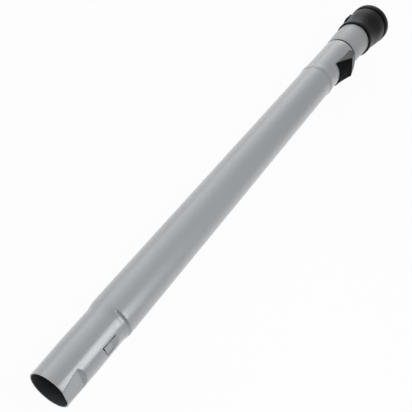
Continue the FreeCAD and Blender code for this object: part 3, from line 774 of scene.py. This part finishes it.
# Hose latch: black moulded rocker, with a hook through the cuff and a flat button standing clear of the sleeve.
# It turns on a ground steel pin in the sleeve's ears.
button_low = 24.1
latch_side = lay @ crank @ flip
rocker = [
    (24.8, 16.6), (26.8, 16.6), (28.0, 18.0), (28.0, 20.8), (39.5, 20.8), (42.5, button_low),
    (55.3, button_low),
    (55.3, 25.3), (41.1, 25.3), (37.9, 23.7), (24.8, 22.9),
]
latch = slab("hose_latch_moulding", rocker, 5.0)
button = sector("latch_button", [(41.3, button_low), (55.9, button_low), (55.9, 25.9), (41.3, 25.9)], 29.0)
fused = latch.modifiers.new("button", "BOOLEAN")
fused.operation = "UNION"
fused.solver = "EXACT"
fused.object = button
apply_all(latch)
bpy.data.objects.remove(button)
soften(latch, 0.5, 30.0, 3)
cut_with(latch, drill("pin_hole", (pin_at, 0, pin_up), 1.06, 30.0, "Y"))
settle(latch, latch_side, "latch", "hose_latch", black_plastic, 30.0)
paint("latch_pin", bare_steel)

# Latch spring: a short steel coil between the cuff and the underside of the latch's button.
# In the wand it shortens as the button is pressed; here it moves with the latch and keeps its length.
spring_at = 49.9
spring_foot = 20.6
latch_spring = coil("latch_spring_wire", 0.5, 4.2, 3.5, 3)
under_button = latch_side @ Matrix.Translation((spring_at * mm, 0, spring_foot * mm))
settle(latch_spring, under_button, "latch", "latch_spring", bare_steel, 40.0)
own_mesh(latch_spring)

# Floor: plain pale paper under the wand, through its resting points on the neck and the latch's button.
# It looks white to the camera and in gloss, and keeps the wand's shadow.
floor_slope = math.radians(0.345)
bpy.ops.object.select_all(action="DESELECT")
bpy.ops.mesh.primitive_plane_add(
    size=8.0, location=(0.3, 0.0, -0.01915 - 0.2285 * math.tan(floor_slope)), rotation=(0, floor_slope, 0)
)
ground = bpy.context.object
ground.name = ground.data.name = "ground"
paper, nodes, links, shader = new_material("white_paper")
shader.inputs["Base Color"].default_value = (0.86, 0.86, 0.86, 1)
shader.inputs["Roughness"].default_value = 0.9
glow = nodes.new("ShaderNodeEmission")
glow.inputs["Color"].default_value = (1, 1, 1, 1)
rays = nodes.new("ShaderNodeLightPath")
either = nodes.new("ShaderNodeMath")
either.operation = "MAXIMUM"
links.new(rays.outputs["Is Camera Ray"], either.inputs[0])
links.new(rays.outputs["Is Glossy Ray"], either.inputs[1])
amount = nodes.new("ShaderNodeMath")
amount.operation = "MULTIPLY"
amount.inputs[1].default_value = 0.96
links.new(either.outputs[0], amount.inputs[0])
mixed = nodes.new("ShaderNodeMixShader")
links.new(amount.outputs[0], mixed.inputs["Fac"])
links.new(shader.outputs["BSDF"], mixed.inputs[1])
links.new(glow.outputs["Emission"], mixed.inputs[2])
links.new(mixed.outputs["Shader"], nodes["Material Output"].inputs["Surface"])
ground.data.materials.append(paper)

# Studio light: a long light tent over the wand, bright down both sides and dim along its ridge and open near end.
# A soft box above the spigot's trigger side throws the streak on the spigot.
tent = bpy.data.worlds.new("light_tent")
bpy.context.scene.world = tent
tent.use_nodes = True
nodes, links = tent.node_tree.nodes, tent.node_tree.links
where = nodes.new("ShaderNodeTexCoord")
across = nodes.new("ShaderNodeVectorMath")
across.operation = "MULTIPLY"
across.inputs[1].default_value = (0, 1, 1)
links.new(where.outputs["Generated"], across.inputs[0])
unit = nodes.new("ShaderNodeVectorMath")
unit.operation = "NORMALIZE"
links.new(across.outputs["Vector"], unit.inputs[0])
ridge = nodes.new("ShaderNodeVectorMath")
ridge.operation = "DOT_PRODUCT"
ridge.inputs[1].default_value = (0, -0.4, 0.917)
links.new(unit.outputs["Vector"], ridge.inputs[0])
sides = nodes.new("ShaderNodeMapRange")
sides.interpolation_type = "SMOOTHSTEP"
sides.inputs["From Min"].default_value = -0.25
sides.inputs["From Max"].default_value = 0.9
sides.inputs["To Min"].default_value = 1.65
sides.inputs["To Max"].default_value = 0.55
links.new(ridge.outputs["Value"], sides.inputs["Value"])
along = nodes.new("ShaderNodeSeparateXYZ")
links.new(where.outputs["Generated"], along.inputs[0])
near_end = nodes.new("ShaderNodeMapRange")
near_end.interpolation_type = "SMOOTHSTEP"
near_end.inputs["From Min"].default_value = -0.4
near_end.inputs["From Max"].default_value = 0.2
near_end.inputs["To Min"].default_value = 0.35
links.new(along.outputs["X"], near_end.inputs["Value"])
cloth = nodes.new("ShaderNodeMath")
cloth.operation = "MULTIPLY"
links.new(sides.outputs["Result"], cloth.inputs[0])
links.new(near_end.outputs["Result"], cloth.inputs[1])
rays = nodes.new("ShaderNodeLightPath")
backdrop = nodes.new("ShaderNodeMix")
backdrop.inputs["B"].default_value = 1.0
links.new(rays.outputs["Is Camera Ray"], backdrop.inputs["Factor"])
links.new(cloth.outputs[0], backdrop.inputs["A"])
links.new(backdrop.outputs["Result"], nodes["Background"].inputs["Strength"])
nodes["Background"].inputs["Color"].default_value = (1, 1, 1, 1)
box_at = Vector((0.215, -0.25, 0.415))
box_back = (box_at - Vector((0.035, 0, 0.018))).normalized()
box_side = (Vector((1, 0, 0)) - box_back.x * box_back).normalized()
pose = Matrix((box_side, box_back.cross(box_side), box_back)).transposed().to_4x4()
pose.translation = box_at
bpy.ops.object.light_add(type="AREA")
soft_box = bpy.context.object
soft_box.name = soft_box.data.name = "soft_box"
soft_box.data.shape = "RECTANGLE"
soft_box.data.size, soft_box.data.size_y = 0.19, 0.32
soft_box.data.energy = 0.68
soft_box.matrix_world = pose

# Camera: above the spigot's end, looking along the wand, at the photograph's viewing angle.
# Its place and turn were fitted to the wand's outlines and the tube's diameter.
bpy.ops.object.camera_add()
camera = bpy.context.object
right = Vector((0.51246, -0.70181, 0.49482))
upward = Vector((0.5909, 0.70632, 0.38981))
ahead = Vector((0.62307, -0.09263, -0.77666))
pose = Matrix((right, upward, -ahead)).transposed().to_4x4()
pose.translation = Vector((-0.14786, 0.0556, 0.45287))
camera.matrix_world = pose
camera.data.sensor_width = 36.0
camera.data.lens = 56.36
camera.data.clip_start = 0.01
bpy.context.scene.camera = camera
bpy.context.scene.view_settings.view_transform = "Standard"
